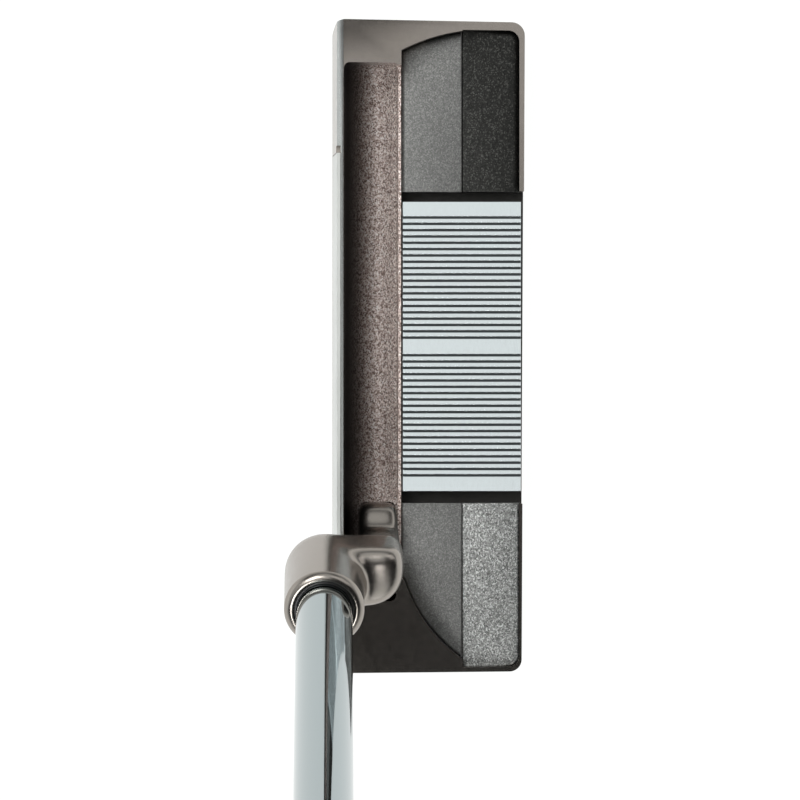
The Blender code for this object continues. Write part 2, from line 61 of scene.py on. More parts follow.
# The CAD's own design values, for what its boxes don't give
LOFT = math.radians(2.0)
FACE_REACH = -0.01733
FACE_REACH_HEIGHT = 0.004
TOPLINE_BACK = -0.0154
SLOPE_BACK_HEIGHT = 0.0165
BACK = 0.0173
TROUGH_TOE = -0.0513
TROUGH_HEEL = 0.0425
TROUGH_BACK = -0.0054
NECK_FOOT_TOE = 0.0283
NECK_FOOT_HEEL = 0.0462
NECK_FOOT_FRONT = -0.0124
NECK_FOOT_BACK = -0.00585
FLANGE_FRONT = TOE_PLATE_LOW.y - GAP
FLANGE_SPLIT = (TOE_PLATE_HIGH.y + TOE_WEIGHT_LOW.y) / 2
LEAN = math.radians(20.0)
SHAFT_Y = -0.0188
MOUTH_X = 0.0468
MOUTH_Z = 0.062
MOUTH = MOUTH_Z / math.cos(LEAN)
GROUND_X = MOUTH_X - MOUTH_Z * math.tan(LEAN)
HOSEL_RADIUS = 0.0068
BORE_RADIUS = 0.0054
MOUTH_RADIUS = 0.0055
SHAFT_RADIUS = 0.005
TAPER_START = 0.2
TAPER_END = 0.6
BUTT_RADIUS = 0.00762
CLUB_LENGTH = 0.864
GRIP_LENGTH = 0.26
GRIP_START = CLUB_LENGTH - GRIP_LENGTH
GRIP_FLAT = 0.86
SOLE_RADIUS = 0.0018
POCKET_BACK = 0.0166
TOE_POCKET_END = -0.0574
HEEL_POCKET_END = 0.0582

# Values of this model alone: the sweep at the trough's ends, the shaft's wall and the top of the cutters
TROUGH_SWEEP = 0.0052
TROUGH_RISE = 0.0019
SHAFT_WALL = 0.0007
CLEAR = 0.03


# ---------------------------------------------------------------- outlines

def fillet(before, corner, after, radius, steps):
    """Points of an arc that rounds one corner of an outline."""
    here = Vector(corner[:2])
    first = (Vector(before[:2]) - here).normalized()
    second = (Vector(after[:2]) - here).normalized()
    half = first.angle(second) / 2
    reach = radius / math.tan(half)
    centre = here + (first + second).normalized() * radius / math.sin(half)
    start = here + first * reach - centre
    end = here + second * reach - centre
    turn = math.atan2(start.x * end.y - start.y * end.x, start.dot(end))
    points = []
    for step in range(steps + 1):
        angle = turn * step / steps
        across = start.x * math.cos(angle) - start.y * math.sin(angle)
        along = start.x * math.sin(angle) + start.y * math.cos(angle)
        points.append((centre.x + across, centre.y + along))
    return points


def rounded(corners, steps=10):
    """An outline from (x, y, radius) corners; a radius of 0 keeps the corner."""
    points = []
    for index, corner in enumerate(corners):
        if corner[2] == 0:
            points.append((corner[0], corner[1]))
            continue
        after = corners[(index + 1) % len(corners)]
        points += fillet(corners[index - 1], corner, after, corner[2], steps)
    return points


def bow(start, end, bulge, steps=24):
    """Points of a shallow arc between two points, both left out, bulging to the left of its way."""
    way = Vector(end) - Vector(start)
    left = Vector((-way.y, way.x)).normalized()
    points = []
    for step in range(1, steps):
        share = step / steps
        place = Vector(start) + way * share + left * bulge * 4 * share * (1 - share)
        points.append((place.x, place.y))
    return points


def face_y(height):
    return FACE_REACH + (height - FACE_REACH_HEIGHT) * math.tan(LOFT)


def slope_height(y):
    share = (y - TOPLINE_BACK) / (BACK - TOPLINE_BACK)
    return HEAD_HEIGHT + (SLOPE_BACK_HEIGHT - HEAD_HEIGHT) * share


# ---------------------------------------------------------------- meshes

def new_object(name, mesh):
    made = bpy.data.objects.new(name, mesh)
    bpy.context.scene.collection.objects.link(made)
    return made


def from_bmesh(name, work):
    bmesh.ops.recalc_face_normals(work, faces=work.faces)
    mesh = bpy.data.meshes.new(name)
    work.to_mesh(mesh)
    work.free()
    return new_object(name, mesh)


AXES = {
    "x": Matrix(((0, 0, 1, 0), (1, 0, 0, 0), (0, 1, 0, 0), (0, 0, 0, 1))),
    "y": Matrix(((1, 0, 0, 0), (0, 0, 1, 0), (0, 1, 0, 0), (0, 0, 0, 1))),
    "z": Matrix.Identity(4),
}


def prism(name, outline, low, high, axis="z"):
    """An outline, thickened along an axis. It lies in Y and Z, in X and Z, or in X and Y."""
    work = bmesh.new()
    rings = []
    for level in (low, high):
        rings.append([work.verts.new((place[0], place[1], level)) for place in outline])
    count = len(outline)
    work.faces.new(rings[0])
    work.faces.new(rings[1])
    for step in range(count):
        beside = (step + 1) % count
        work.faces.new((rings[0][step], rings[0][beside], rings[1][beside], rings[1][step]))
    bmesh.ops.transform(work, matrix=AXES[axis], verts=work.verts)
    return from_bmesh(name, work)


def tube_of_loops(name, loops, capped):
    """A skin over loops of equal length. It ends in caps, or closes into a ring."""
    work = bmesh.new()
    rows = [[work.verts.new(place) for place in loop] for loop in loops]
    count = len(rows[0])
    pairs = list(zip(rows, rows[1:]))
    if capped:
        work.faces.new(rows[0])
        work.faces.new(rows[-1])
    else:
        pairs.append((rows[-1], rows[0]))
    for row, after in pairs:
        for step in range(count):
            beside = (step + 1) % count
            work.faces.new((row[step], row[beside], after[beside], after[step]))
    return from_bmesh(name, work)


def round_loop(radius, height, steps):
    return [
        (radius * math.cos(math.tau * step / steps), radius * math.sin(math.tau * step / steps), height)
        for step in range(steps)
    ]


def turned(name, profile, steps=64, capped=True):
    """A turned piece from (radius, height) points."""
    return tube_of_loops(name, [round_loop(radius, height, steps) for radius, height in profile], capped)


def block(name, low, high):
    outline = [(low[0], low[1]), (high[0], low[1]), (high[0], high[1]), (low[0], high[1])]
    return prism(name, outline, low[2], high[2])


def soft_block(name, low, high, radius, segments=6):
    """A block with all its edges rounded."""
    piece = block(name, low, high)
    round_edges(piece, radius, segments, lambda place: True)
    return piece


def round_edges(piece, width, segments, chosen):
    work = bmesh.new()
    work.from_mesh(piece.data)
    edges = [edge for edge in work.edges if chosen(edge.verts[0].co) and chosen(edge.verts[1].co)]
    sharp = [edge for edge in edges if edge.calc_face_angle(0) > math.radians(30)]
    bmesh.ops.bevel(work, geom=sharp, offset=width, segments=segments, profile=0.5, affect="EDGES")
    work.to_mesh(piece.data)
    work.free()


def apply_modifiers(piece):
    graph = bpy.context.evaluated_depsgraph_get()
    mesh = bpy.data.meshes.new_from_object(piece.evaluated_get(graph))
    piece.modifiers.clear()
    piece.data = mesh
    mesh.name = piece.name
    return piece


def combine(piece, tools, operation):
    """Cuts tools from a piece, or joins them to it, and removes them."""
    for tool in tools:
        change = piece.modifiers.new(tool.name, "BOOLEAN")
        change.operation = operation
        change.solver = "MANIFOLD"
        change.object = tool
    apply_modifiers(piece)
    for tool in tools:
        bpy.data.objects.remove(tool)
    return piece


def merge_flat_faces(piece):
    work = bmesh.new()
    work.from_mesh(piece.data)
    bmesh.ops.remove_doubles(work, verts=work.verts, dist=2e-6)
    bmesh.ops.dissolve_limit(work, angle_limit=math.radians(0.3), verts=work.verts, edges=work.edges)
    work.to_mesh(piece.data)
    work.free()


def soften(piece, width, segments=3, angle=30):
    """Rounds every hard edge a little, so that it catches the light, and keeps the flats flat."""
    piece.data.shade_smooth()
    change = piece.modifiers.new("soft_edges", "BEVEL")
    change.width = width
    change.segments = segments
    change.limit_method = "ANGLE"
    change.angle_limit = math.radians(angle)
    change.use_clamp_overlap = True
    change.harden_normals = True
    return apply_modifiers(piece)


def smooth(piece, angle=40):
    piece.data.shade_smooth()
    piece.data.set_sharp_from_angle(angle=math.radians(angle))
    return piece


def lean(piece):
    """Leans an upright shaft piece over the heel, about the point where the shaft's axis meets the ground."""
    piece.data.transform(Matrix.Translation((GROUND_X, SHAFT_Y, 0)) @ Matrix.Rotation(LEAN, 4, "Y"))
    return piece


def finish_piece(piece, material, slot, *nodes):
    """Gives a piece its material, hangs it on the root, and hides the CAD nodes that it stands for."""
    if material:
        piece.data.materials.clear()
        piece.data.materials.append(material)
    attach(piece, "root")
    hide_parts(*nodes)
    return piece


# ---------------------------------------------------------------- materials

class Nodes:
    """A short way to write a material's nodes."""

    def __init__(self, name, colour, metallic, roughness):
        self.material = bpy.data.materials.new(name)
        self.material.use_nodes = True
        self.tree = self.material.node_tree
        self.shader = self.tree.nodes["Principled BSDF"]
        self.shader.inputs["Base Color"].default_value = (*colour, 1.0)
        self.shader.inputs["Metallic"].default_value = metallic
        self.shader.inputs["Roughness"].default_value = roughness
        self.place = self.add("ShaderNodeTexCoord").outputs["Object"]

    def add(self, kind, **values):
        node = self.tree.nodes.new(kind)
        for key, value in values.items():
            if key in node.inputs:
                node.inputs[key].default_value = value
            else:
                setattr(node, key, value)
        return node

    def link(self, source, target):
        self.tree.links.new(source, target)

    def noise(self, scale, detail=2.0, stretch=(1, 1, 1)):
        """Noise in object space, stretched along the axes for a brushed grain."""
        shift = self.add("ShaderNodeMapping")
        shift.inputs["Scale"].default_value = stretch
        self.link(self.place, shift.inputs["Vector"])
        made = self.add("ShaderNodeTexNoise")
        made.inputs["Scale"].default_value = scale
        made.inputs["Detail"].default_value = detail
        self.link(shift.outputs["Vector"], made.inputs["Vector"])
        return made.outputs["Fac"]

    def cells(self, size):
        """A random value for each small cell of this size."""
        made = self.add("ShaderNodeTexVoronoi")
        made.inputs["Scale"].default_value = 1 / size
        self.link(self.place, made.inputs["Vector"])
        return made.outputs["Color"]

    def ramp(self, source, stops):
        made = self.add("ShaderNodeValToRGB")
        while len(made.color_ramp.elements) < len(stops):
            made.color_ramp.elements.new(0.5)
        for element, (position, colour) in zip(made.color_ramp.elements, stops):
            element.position = position
            element.color = (*colour, 1.0)
        self.link(source, made.inputs["Fac"])
        return made.outputs["Color"]

    def span(self, source, low, high):
        """Maps 0..1 noise to a range."""
        made = self.add("ShaderNodeMapRange")
        made.inputs["From Min"].default_value = 0.25
        made.inputs["From Max"].default_value = 0.75
        made.inputs["To Min"].default_value = low
        made.inputs["To Max"].default_value = high
        self.link(source, made.inputs["Value"])
        return made.outputs["Result"]

    def bump(self, source, depth, strength=1.0):
        made = self.add("ShaderNodeBump")
        made.inputs["Strength"].default_value = strength
        made.inputs["Distance"].default_value = depth
        self.link(source, made.inputs["Height"])
        self.link(made.outputs["Normal"], self.shader.inputs["Normal"])

    def colour(self, source):
        self.link(source, self.shader.inputs["Base Color"])

    def roughness(self, source):
        self.link(source, self.shader.inputs["Roughness"])


def satin_bronze():
    made = Nodes("satin_bronze", (0.33, 0.3, 0.27), 1.0, 0.24)
    made.colour(made.ramp(made.noise(60, 4), [(0.3, (0.315, 0.285, 0.255)), (0.7, (0.345, 0.315, 0.287))]))
    made.roughness(made.span(made.noise(900, 3), 0.22, 0.27))
    return made.material


def flake_bronze():
    """Blasted bronze whose crystals each catch the light on their own, darkened by painted shade towards the
    topline's wall, where the topline's shadow falls.
    """
    made = Nodes("flake_bronze", (0.2, 0.15, 0.13), 0.45, 0.5)
    split = made.add("ShaderNodeSeparateColor")
    made.link(made.cells(0.00021), split.inputs["Color"])
    stops = [(0.0, (0.16, 0.11, 0.095)), (0.4, (0.5, 0.39, 0.35)), (0.8, (0.92, 0.8, 0.74))]
    stops.append((1.0, (1.0, 0.96, 0.92)))
    # Painted shade: across the trough, a ramp from black at the topline's wall to full at the back multiplies
    # the colour, standing in for the topline's shadow.
    where = made.add("ShaderNodeSeparateXYZ")
    made.link(made.place, where.inputs["Vector"])
    depth = made.add("ShaderNodeMapRange")
    depth.inputs["From Min"].default_value = TOPLINE_BACK
    depth.inputs["From Max"].default_value = TROUGH_BACK
    made.link(where.outputs["Y"], depth.inputs["Value"])
    painted_shade_levels = ((0.08, 0.0), (0.27, 0.12), (0.5, 0.45), (0.9, 1.0))
    painted_shade_stops = [(share, (grey, grey, grey)) for share, grey in painted_shade_levels]
    painted_shade = made.ramp(depth.outputs["Result"], painted_shade_stops)
    mix = made.add("ShaderNodeMix", data_type="RGBA", blend_type="MULTIPLY")
    mix.inputs["Factor"].default_value = 1.0
    made.link(made.ramp(split.outputs["Red"], stops), mix.inputs["A"])
    made.link(painted_shade, mix.inputs["B"])
    made.colour(mix.outputs["Result"])
    made.shader.inputs["Specular IOR Level"].default_value = 0.05
    # The painted shade also takes the metal away towards the wall, so that the wall stays black.
    metal = made.add("ShaderNodeMapRange")
    metal.inputs["To Max"].default_value = 0.45
    made.link(painted_shade, metal.inputs["Value"])
    made.link(metal.outputs["Result"], made.shader.inputs["Metallic"])
    made.bump(split.outputs["Green"], 0.00006, 0.8)
    return made.material


# Painted highlight: a paler, greyer copy of the casting's bronze for the topline's flat top, standing in for
# the light that it catches.
def topline_painted_highlight():
    made = Nodes("topline_painted_highlight", (0.5, 0.51, 0.5), 1.0, 0.22)
    made.roughness(made.span(made.noise(900, 3), 0.2, 0.26))
    return made.material


def pocket_shade():
    """Painted shade: near-black metal for the pockets and the gaps round the flange pieces, standing in for the
    shade down in them.
    """
    made = Nodes("pocket_shade", (0.032, 0.03, 0.027), 0.6, 0.5)
    made.roughness(made.span(made.noise(900, 3), 0.42, 0.6))
    made.bump(made.noise(4000, 2), 0.00001, 0.5)
    return made.material


def blasted_grey(name, dark, light, roughness, grain, sparkle, metallic=0.75):
    """Fine blasted or coated metal: a grey that varies from grain to grain, with a few bright ones."""
    made = Nodes(name, dark, metallic, roughness)
    split = made.add("ShaderNodeSeparateColor")
    made.link(made.cells(grain), split.inputs["Color"])
    bright = tuple(min(1.0, value * sparkle) for value in light)
    made.colour(made.ramp(split.outputs["Red"], [(0.0, dark), (0.75, light), (1.0, bright)]))
    made.bump(split.outputs["Green"], 0.00003, 0.5)
    return made.material


def polished_aluminium():
    made = Nodes("polished_aluminium", (0.82, 0.87, 0.88), 1.0, 0.12)
    made.roughness(made.span(made.noise(700, 3, (1, 12, 1)), 0.08, 0.18))
    made.bump(made.noise(2500, 2, (14, 1, 1)), 0.000003, 0.4)
    return made.material


def chrome():
    made = Nodes("shaft_chrome", (0.36, 0.41, 0.42), 1.0, 0.05)
    made.roughness(made.span(made.noise(160, 3), 0.035, 0.07))
    return made.material


def plain_steel(name, colour, roughness):
    made = Nodes(name, colour, 1.0, roughness)
    made.roughness(made.span(made.noise(1200, 3), roughness * 0.8, roughness * 1.3))
    made.bump(made.noise(4000, 2), 0.000005, 0.5)
    return made.material


def soft_plastic(name, colour, roughness, grain=3000):
    made = Nodes(name, colour, 0.0, roughness)
    lighter = tuple(value * 1.15 for value in colour)
    made.colour(made.ramp(made.noise(90, 3), [(0.3, colour), (0.7, lighter)]))
    made.roughness(made.span(made.noise(grain / 3, 3), roughness * 0.9, roughness * 1.1))
    made.bump(made.noise(grain, 2), 0.00001, 0.5)
    return made.material


# ---------------------------------------------------------------- head

def head_outline():
    half = -HEAD_LOW.x
    front = FACE_REACH - 0.0002
    corners = [(-half, front, 0.0025), (half, front, 0.002), (half, 0.017, 0.0022)]
    corners.append((-half + 0.0002, 0.0176, 0.0024))
    return rounded(corners)


def smooth_section(knots, steps):
    """A smooth curve through a few points of a cross section."""
    section = []
    last = len(knots) - 1
    for step in range(steps + 1):
        share = step / steps * last
        index = min(int(share), last - 1)
        local = share - index
        before = Vector(knots[max(index - 1, 0)])
        first = Vector(knots[index])
        second = Vector(knots[index + 1])
        after = Vector(knots[min(index + 2, last)])
        place = 2 * first + (second - before) * local
        place += (2 * before - 5 * first + 4 * second - after) * local**2
        place += (3 * first - before - 3 * second + after) * local**3
        section.append(place / 2)
    return section


def quarter(radius, distance):
    """How far a quarter-round fillet stands in, at a distance from the wall that it runs into."""
    away = max(radius - distance, 0.0)
    return radius - math.sqrt(radius**2 - away**2)


def sweep_rise(distance):
    """How far the trough's floor has risen, at a distance from the end that it sweeps up to."""
    ramp = min(max(1 - distance / TROUGH_SWEEP, 0.0), 1.0)
    return TROUGH_RISE * ramp**2


def trough_cutter():
    """The hollow behind the topline. Its floor sweeps up at the toe and at the neck's foot."""
    rim = HEAD_HEIGHT + 0.004
    corner = 0.0011
    floor = 0.0103
    knots = [(TOPLINE_BACK, rim), (TOPLINE_BACK + 0.0002, 0.021), (-0.0146, 0.0168), (-0.0135, 0.0133)]
    knots += [(-0.0118, 0.0111), (-0.0098, floor), (-0.0078, 0.0109), (-0.0064, 0.0126)]
    knots += [(TROUGH_BACK, FLANGE_TOP - 0.0002), (TROUGH_BACK + 0.0001, rim)]
    section = smooth_section(knots, 45)
    middle = (TOPLINE_BACK + TROUGH_BACK) / 2
    half = (TROUGH_BACK - TOPLINE_BACK) / 2
    steps = 14
    distances = [TROUGH_SWEEP * (step / steps) ** 2 for step in range(steps + 1)]
    stations = [TROUGH_TOE + distance for distance in distances]
    stations += [NECK_FOOT_TOE - distance for distance in reversed(distances)]
    stations += [TROUGH_HEEL - distance for distance in reversed(distances)]
    rows = []
    for x in stations:
        squeeze = 1 - quarter(corner, min(x - TROUGH_TOE, TROUGH_HEEL - x)) / half
        rise = sweep_rise(x - TROUGH_TOE) + sweep_rise(NECK_FOOT_TOE - x)
        row = []
        for place in section:
            depth = (slope_height(place.x) - place.y) / (slope_height(place.x) - floor)
            height = place.y + rise * min(max(depth, 0.0), 1.0)
            row.append((x, middle + (place.x - middle) * squeeze, height))
        rows.append(row)
    return tube_of_loops("trough_cutter", rows, capped=True)


def toe_front_outline(inset):
    front = FLANGE_FRONT + inset
    split = FLANGE_SPLIT - inset / 2
    start = (-0.0572 + inset, split)
    end = (-0.0536 + inset, front)
    inner = TOE_PLATE_HIGH.x
    return [start] + bow(start, end, -0.0005) + [end, (inner, front), (inner, split)]


def heel_front_outline(inset):
    front = FLANGE_FRONT + inset
    split = FLANGE_SPLIT - inset / 2
    start = (0.0425 - inset, front + 0.0006)
    end = (0.0567 - inset, split)
    inner = HEEL_PLATE_LOW.x
    return [start] + bow(start, end, -0.0014) + [end, (inner, split), (inner, front), (0.0419 - inset, front)]


def toe_rear_outline(inset):
    split = FLANGE_SPLIT + inset / 2
    back = POCKET_BACK - inset
    toe = TOE_POCKET_END + inset
    inner = TOE_WEIGHT_HIGH.x
    return rounded([(toe, split, 0), (inner, split, 0), (inner, back, 0), (toe, back, 0.002)])


def heel_rear_outline(inset):
    split = FLANGE_SPLIT + inset / 2
    back = POCKET_BACK - inset
    heel = HEEL_POCKET_END - inset
    inner = HEEL_WEIGHT_LOW.x
    return rounded([(inner, split, 0), (heel, split, 0), (heel, back, 0.002), (inner, back, 0)])


SCREW_NODES = (
    "toe_plate_screw", "heel_plate_screw", "toe_weight_screw",
    "heel_weight_screw", "alignment_screw_toe", "alignment_screw_heel",
)
WEIGHT_NODES = ("toe_sole_weight", "heel_sole_weight")


def middle_of(node):
    low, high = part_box(node)
    return (low + high) / 2


def stand(piece, x, y):
    piece.data.transform(Matrix.Translation((x, y, 0)))
    return piece


def head_region(place, normal):
    """The finish of a spot: 0 satin, 1 flake in the trough, 2 painted shade in the pockets, 3 the topline's
    painted highlight.
    """
    if place.z > HEAD_HEIGHT - 0.0003 and place.y < TOPLINE_BACK - 0.0001:
        return 3
    if place.z > slope_height(place.y) - 0.0005 or place.z < 0.005:
        return 0
    lengthwise = TROUGH_TOE - 0.0001 < place.x < TROUGH_HEEL + 0.0001
    if lengthwise and TOPLINE_BACK - 0.0001 < place.y < FLANGE_FRONT:
        return 1
    inside = FLANGE_FRONT - 0.0002 < place.y < POCKET_BACK + 0.0002
    inside = inside and TOE_POCKET_END - 0.0002 < place.x < HEEL_POCKET_END - 0.0003
    return 2 if inside and place.z < FLANGE_TOP - 0.0002 else 0


def build_head(bronze, flake, shade, topline):
    body = prism("head_casting", head_outline(), 0.0, HEAD_HEIGHT)
    round_edges(body, SOLE_RADIUS, 8, lambda place: place.z < 0.0001)
    top = HEAD_HEIGHT + 0.01
    ahead = -0.04
    behind = 0.025
    loft = [(ahead, -0.01), (face_y(-0.01), -0.01), (face_y(top), top), (ahead, top)]
    slope = [(TOPLINE_BACK, HEAD_HEIGHT), (behind, slope_height(behind))]
    slope += [(behind, top), (TOPLINE_BACK, top)]
    socket = [(NECK_FOOT_TOE, NECK_FOOT_FRONT, 0.0012), (NECK_FOOT_HEEL, NECK_FOOT_FRONT, 0.0012)]
    socket += [(NECK_FOOT_HEEL, NECK_FOOT_BACK, 0.0012), (NECK_FOOT_TOE, NECK_FOOT_BACK, 0.0012)]
    strike_back = STRIKE_HIGH.y - face_y(HEAD_HEIGHT) + 0.0001
    strike = [(ahead, STRIKE_LOW.z - 0.0001), (face_y(STRIKE_LOW.z) + strike_back, STRIKE_LOW.z - 0.0001)]
    strike += [(face_y(top) + strike_back, top), (ahead, top)]
    tools = [
        prism("face_cutter", loft, -0.08, 0.08, "x"),
        prism("slope_cutter", slope, -0.08, 0.08, "x"),
        trough_cutter(),
        block("ridge_cutter", (TROUGH_TOE + GAP, -0.0085, FLANGE_TOP - 0.0001),
              (TROUGH_HEEL - GAP, 0.0, CLEAR)),
        prism("neck_socket_cutter", rounded(socket), NECK_LOW.z - GAP, CLEAR),
        block("strike_notch", (STRIKE_LOW.x - 0.0013, ahead, 0.0215),
              (STRIKE_LOW.x + 0.001, face_y(HEAD_HEIGHT) + 0.0007, top)),
        prism("toe_front_cutter", toe_front_outline(0), TOE_PLATE_LOW.z - GAP, CLEAR),
        prism("heel_front_cutter", heel_front_outline(0), HEEL_PLATE_LOW.z - GAP, CLEAR),
        prism("toe_rear_cutter", toe_rear_outline(0), TOE_WEIGHT_LOW.z - GAP, CLEAR),
        prism("heel_rear_cutter", heel_rear_outline(0), HEEL_WEIGHT_LOW.z - GAP, CLEAR),
        block("insert_cutter", (TOE_PLATE_HIGH.x - 0.0001, FLANGE_FRONT, INSERT_LOW.z - GAP),
              (HEEL_PLATE_LOW.x + 0.0001, behind, CLEAR)),
        prism("strike_cutter", strike, STRIKE_LOW.x - 0.0001, STRIKE_HIGH.x + 0.0001, "x"),
    ]
    screw_well = [(0.0028, -0.001), (0.0028, 0.0027), (0.0017, 0.0027), (0.0017, 0.012)]
    for node in SCREW_NODES:
        place = middle_of(node)
        well = turned(f"{node}_well", screw_well, 32)
        tools.append(stand(well, place.x, place.y))
    for node in WEIGHT_NODES:
        low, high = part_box(node)
        place = middle_of(node)
        radius = (high.x - low.x) / 2 + GAP
        well = turned(f"{node}_well", [(radius, -0.001), (radius, high.z + GAP)], 64)
        tools.append(stand(well, place.x, place.y))
    combine(body, tools, "DIFFERENCE")
    merge_flat_faces(body)
    soften(body, 0.00028)
    body.data.materials.clear()
    for material in (bronze, flake, shade, topline):
        body.data.materials.append(material)
    for face in body.data.polygons:
        face.material_index = head_region(face.center, face.normal)
    return finish_piece(body, None, "bronze_body", "head_body")


def placed_block(name, half, radius, place, turn):
    """A soft block about its middle, turned about the heel-to-back axis and moved to its place."""
    piece = soft_block(name, [-size for size in half], half, radius)
    piece.data.transform(Matrix.Translation(place) @ Matrix.Rotation(math.radians(turn), 4, "Y"))
    return piece


def neck_bar():
    """The cross bar. It leans with the hosel, and its free end is most round on the heel side."""
    corners = [(-0.0057, -0.0073, 0), (0.0057, -0.0073, 0)]
    corners += [(0.0057, 0.0073, 0.0062), (-0.0057, 0.0073, 0.0028)]
    bar = prism("neck_bar", rounded(corners, 12), -0.0054, 0.0054)
    round_edges(bar, 0.0024, 5, lambda place: True)
    bar.data.transform(Matrix.Translation((0.04, -0.012, 0.0456)) @ Matrix.Rotation(LEAN, 4, "Y"))
    return bar


def mouth_cutter():
    """Takes away what stands above the hosel's mouth, rounds its rim, and bores it for shaft and ferrule."""
    above = MOUTH + 0.02
    seat = MOUTH - 0.003
    profile = [(BORE_RADIUS, MOUTH - 0.0198), (BORE_RADIUS, seat)]
    profile += [(MOUTH_RADIUS, seat), (MOUTH_RADIUS, MOUTH - 0.0002)]
    profile.append((MOUTH_RADIUS + 0.0001, MOUTH - 0.00005))
    drop = 0.0022
    crest = MOUTH_RADIUS + 0.0002
    reach = 0.0016
    for step in range(17):
        angle = math.pi / 2 * step / 16
        profile.append((crest + reach * math.sin(angle), MOUTH - drop * (1 - math.cos(angle))))
    profile += [(0.013, MOUTH - drop), (0.013, above)]
    return lean(turned("mouth_cutter", profile, 96))


def build_neck(bronze):
    """One casting: foot, post, cross bar and hosel, melted into one flowing shape."""
    neck = soft_block("neck_casting", (NECK_LOW.x, -0.0127, NECK_LOW.z), (0.0464, -0.00565, 0.0197), 0.001, 4)
    wedge = placed_block("neck_wedge", (0.0046, 0.0035, 0.003), 0.0008, (0.0341, -0.00905, 0.0193), -25)
    post = placed_block("neck_post", (0.0035, 0.0037, 0.0145), 0.0015, (0.0375, -0.0089, 0.0315), 4)
    bar = neck_bar()
    width = HOSEL_RADIUS + 0.0004
    foot = MOUTH - 0.0235
    profile = []
    for step in range(9):
        angle = math.pi / 2 * step / 8
        profile.append((width * (0.3 + 0.7 * math.sin(angle)), foot + 0.0045 * (1 - math.cos(angle))))
    profile.append((width, MOUTH + 0.008))
    hosel = lean(turned("neck_hosel", profile))
    combine(neck, [wedge, post, bar, hosel], "UNION")
    melt = neck.modifiers.new("melt", "REMESH")
    melt.mode = "VOXEL"
    melt.voxel_size = 0.00038
    relax = neck.modifiers.new("relax", "SMOOTH")
    relax.factor = 0.5
    relax.iterations = 110
    apply_modifiers(neck)
    combine(neck, [mouth_cutter()], "DIFFERENCE")
    smooth(neck, 50)
    return finish_piece(neck, bronze, "bronze_body", "neck")


def build_strike_plate(white):
    low = STRIKE_LOW.z
    back = 0.0007
    outline = [(face_y(low), low), (face_y(low) + back, low)]
    outline += [(face_y(HEAD_HEIGHT) + back, HEAD_HEIGHT), (face_y(HEAD_HEIGHT), HEAD_HEIGHT)]
    plate = prism("strike_plate", outline, STRIKE_LOW.x, STRIKE_HIGH.x, "x")
    soften(plate, 0.0001, 2)
    return finish_piece(plate, white, "strike_plate", "face_insert")


# ---------------------------------------------------------------- flange

def build_sight_block(aluminium, groove_dark):
    """The grooved block, its grooves coloured dark. The two ends and the middle stay plain."""
    grooves = 20
    pitch = 0.00115
    first = 0.0016
    half = 0.00024
    depth = 0.0004
    low = INSERT_LOW.z
    outline = [(INSERT_LOW.x, low), (INSERT_HIGH.x, low), (INSERT_HIGH.x, FLANGE_TOP)]
    marks = [first + pitch * index for index in range(grooves)]
    for middle in list(reversed(marks)) + [-mark for mark in marks]:
        outline.append((middle + half, FLANGE_TOP))
        outline.append((middle + half * 0.7, FLANGE_TOP - depth))
        outline.append((middle - half * 0.7, FLANGE_TOP - depth))
        outline.append((middle - half, FLANGE_TOP))
    outline.append((INSERT_LOW.x, FLANGE_TOP))
    insert = prism("sight_block", outline, INSERT_LOW.y, INSERT_HIGH.y, "y")
    soften(insert, 0.00004, 2, 25)
    insert.data.materials.append(aluminium)
    insert.data.materials.append(groove_dark)
    for face in insert.data.polygons:
        place = face.center
        inside = abs(place.x) < marks[-1] + half
        inside = inside and INSERT_LOW.y + 0.0001 < place.y < INSERT_HIGH.y - 0.0001
        sunk = FLANGE_TOP - depth - 0.0001 < place.z < FLANGE_TOP - 0.00003
        face.material_index = int(inside and sunk)
    return finish_piece(insert, None, "polished_aluminium", "alignment_insert")


def on_split(place):
    """Whether a corner of a flange piece is at its top, on the line between the front and rear pieces."""
    return place.z > FLANGE_TOP - 0.0001 and abs(place.y - FLANGE_SPLIT) < 0.0003


def off_split(place):
    """Whether a corner of a flange piece is at its top, and away from that line."""
    return place.z > FLANGE_TOP - 0.0001 and abs(place.y - FLANGE_SPLIT) > 0.0003


def build_flange_pieces(grey, dark, light):
    seam = 0.00005
    rows = (
        ("toe_front_cover", toe_front_outline, 0.0009, grey, "blasted_plate", "toe_front_plate"),
        ("heel_front_cover", heel_front_outline, 0.0005, grey, "blasted_plate", "heel_front_plate"),
        # The rear blocks are one grey: painted shade darkens the toe block's copy and a painted highlight
        # lightens the heel block's copy.
        ("toe_rear_block", toe_rear_outline, 0.0011, dark, "dark_texture", "toe_rear_weight"),
        ("heel_rear_block", heel_rear_outline, 0.0004, light, "light_texture", "heel_rear_weight"),
    )
    for name, outline, edge, material, slot, node in rows:
        piece = prism(name, outline(seam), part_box(node)[0].z, FLANGE_TOP)
        round_edges(piece, 0.00025, 3, on_split)
        round_edges(piece, edge, 5, off_split)
        soften(piece, 0.00008, 2)
        finish_piece(piece, material, slot, node)


